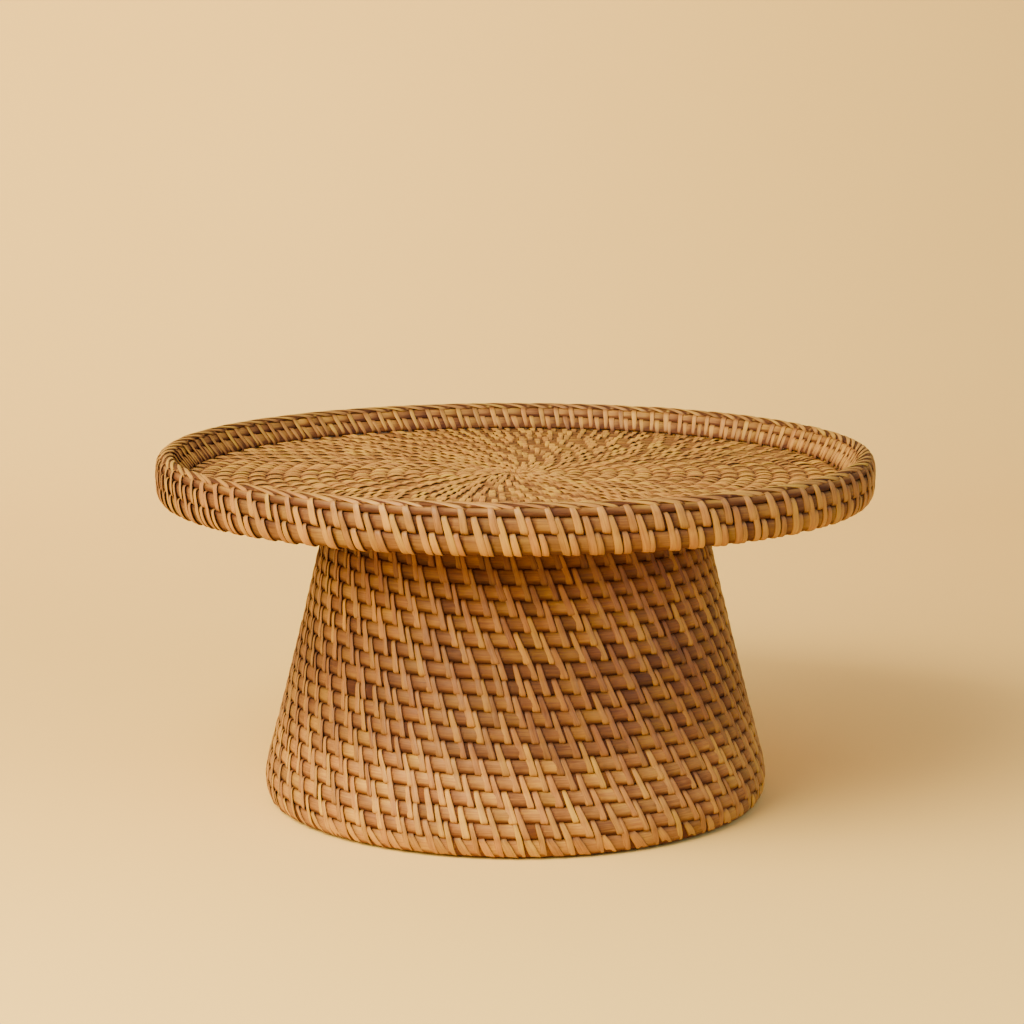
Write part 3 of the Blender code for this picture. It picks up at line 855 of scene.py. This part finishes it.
def build_tabletop():
    low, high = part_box("tabletop_coil")
    rng = np.random.default_rng(77)
    turns = high.x / COIL_PITCH
    top = high.z - STRIP_THICK
    thick = high.z - low.z - 2 * STRIP_THICK
    edge = high.x + COIL_TUCK
    stitches = coil_stitches(turns + 2)
    stitches = stitches[stitches < turns + COIL_LAST]
    stitches += rng.normal(0, COIL_STRAY, len(stitches)) / (TAU * COIL_PITCH * stitches)
    for turn in range(math.ceil(turns) + 2):  # the last strips reach in from beyond the edge
        weave = Weave()
        if turn < turns + 1:
            coil_core(weave, max(turn, COIL_START), min(turn + 1, turns + 1), edge, top - thick / 2,
                      thick, stitches, rng)
        mine = stitches[(stitches >= turn) & (stitches < turn + 1)]
        for picked in (mine[mine < 2], mine[mine >= 2]):  # the first have less room inwards
            if not len(picked):
                continue
            centre = COIL_PITCH * picked
            reach = min(2 * COIL_PITCH, float(centre.min()) - 1.5 * MM)
            width = COIL_STRIP_WIDTH * np.interp(centre.mean(), [0.03, 0.12], [0.62, 1.0])
            lean = COIL_LEAN / centre
            lay_strips(weave, coil_knots(reach, top, thick), picked * TAU - lean, lean, width, rng,
                       COIL_STAIN, closed=True, centre=centre, limit=edge, taper=COIL_TAPER,
                       roll=0.0)
        weave.build(f"tabletop_turn_{turn + 1:02d}", [TRAY_PEEL, TRAY_CORE], ["tabletop_coil"])


build_drum()
build_rim()
build_wall()
build_tabletop()

# ------------------------------------------------------------------ frame nodes

POLE, SLAT, STEEL = pole_material(), slat_material(), steel_material()
FINISH = {"frame_ring": (POLE, "rattan_pole"), "frame_upright": (POLE, "rattan_pole"),
          "rim_pole": (POLE, "rattan_pole"), "tray_rail": (POLE, "rattan_pole"),
          "tray_slat": (SLAT, "wood_slat"), "frame_screw": (STEEL, "steel"),
          "tray_screw": (STEEL, "steel")}
for prefix, (finish, slot) in FINISH.items():
    for name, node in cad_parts.items():
        if name.startswith(prefix):
            node.data.materials.clear()
            node.data.materials.append(finish)


# ------------------------------------------------------------------ stage, light, camera

FLOOR_FRONT = -4.2
WALL_BACK = 3.4
WALL_HEIGHT = 5.0
WALL_BEND = 1.6  # radius of the sweep from floor to wall
STAGE_HALF = 6.0
STAGE_COLUMNS = 13
BEND_STEPS = 16


def backdrop_material():
    n = Nodes("backdrop")
    where = n.node("ShaderNodeTexCoord").outputs["Object"]
    cloud = n.noise(where, 1.3, 2.0, 0.5)
    n.link(n.ramp(cloud, [(0.3, (0.935, 0.585, 0.150)), (0.7, (0.95, 0.60, 0.156))]),
           n.shader.inputs["Base Color"])
    n.shader.inputs["Roughness"].default_value = 0.8
    n.shader.inputs["Specular IOR Level"].default_value = 0.2
    return n.material


def build_stage():
    """Floor and backdrop in one sweep."""
    line = [(FLOOR_FRONT, 0.0), (-1.0, 0.0), (0.6, 0.0), (WALL_BACK - WALL_BEND, 0.0)]
    line += [(WALL_BACK - WALL_BEND + WALL_BEND * math.sin(t),
              WALL_BEND - WALL_BEND * math.cos(t))
             for t in np.linspace(0, math.pi / 2, BEND_STEPS + 1)[1:]]
    line += [(WALL_BACK, 3.0), (WALL_BACK, WALL_HEIGHT)]
    columns = np.linspace(-STAGE_HALF, STAGE_HALF, STAGE_COLUMNS)
    points = [(x, y, z) for y, z in line for x in columns]
    quads = []
    for i in range(len(line) - 1):
        for j in range(STAGE_COLUMNS - 1):
            corner = i * STAGE_COLUMNS + j
            quads.append((corner, corner + 1, corner + STAGE_COLUMNS + 1, corner + STAGE_COLUMNS))
    mesh = bpy.data.meshes.new("backdrop")
    mesh.from_pydata(points, [], quads)
    mesh.shade_smooth()
    mesh.materials.append(backdrop_material())
    backdrop = bpy.data.objects.new("backdrop", mesh)
    bpy.context.scene.collection.objects.link(backdrop)


def area_light(name, place, aim, size, watts, colour):
    light = bpy.data.lights.new(name, "AREA")
    light.shape = "RECTANGLE"
    light.size, light.size_y = size
    light.energy = watts
    light.color = colour
    lamp = bpy.data.objects.new(name, light)
    bpy.context.scene.collection.objects.link(lamp)
    lamp.location = place
    lamp.rotation_euler = (Vector(aim) - Vector(place)).to_track_quat("-Z", "Y").to_euler()


def light_world(colour, strength):
    world = bpy.data.worlds.new("studio")
    bpy.context.scene.world = world
    world.use_nodes = True
    background = world.node_tree.nodes["Background"]
    background.inputs["Color"].default_value = (*colour, 1)
    background.inputs["Strength"].default_value = strength


def place_camera(distance, height, tilt, lens, shift):
    """A camera in front of the table, tilted down by so many degrees."""
    camera = bpy.data.cameras.new("camera")
    camera.sensor_width = 36.0
    camera.lens = lens
    camera.shift_x = shift
    eye = bpy.data.objects.new("camera", camera)
    bpy.context.scene.collection.objects.link(eye)
    eye.location = (0.0, -distance, height)
    eye.rotation_euler = (math.radians(90 - tilt), 0, 0)
    bpy.context.scene.camera = eye


build_stage()
area_light("key", place=(-3.15, -2.2, 2.45), aim=(0, 0, 0.2), size=(3.6, 3.0), watts=250,
           colour=(1.0, 0.91, 0.62))
area_light("front_key", place=(-1.9, -2.7, 1.9), aim=(-0.2, -0.2, 0.1), size=(1.8, 1.4), watts=80,
           colour=(1.0, 0.91, 0.64))
area_light("front_top", place=(-1.1, -1.35, 2.1), aim=(-0.85, -0.85, 0.0), size=(1.6, 1.0),
           watts=80, colour=(1.0, 0.93, 0.70))
area_light("fill", place=(2.3, -2.2, 1.7), aim=(0.2, 0, 0.1), size=(2.0, 2.0), watts=32,
           colour=(0.72, 0.92, 1.40))
area_light("backdrop_light", place=(-1.1, 1.4, 1.9), aim=(-0.9, 3.2, 0.8), size=(2.8, 0.6),
           watts=52, colour=(1.0, 0.92, 0.72))
light_world(colour=(0.80, 0.94, 1.32), strength=0.54)
place_camera(distance=2.853, height=0.8014, tilt=9.575, lens=90.4, shift=-0.0034)
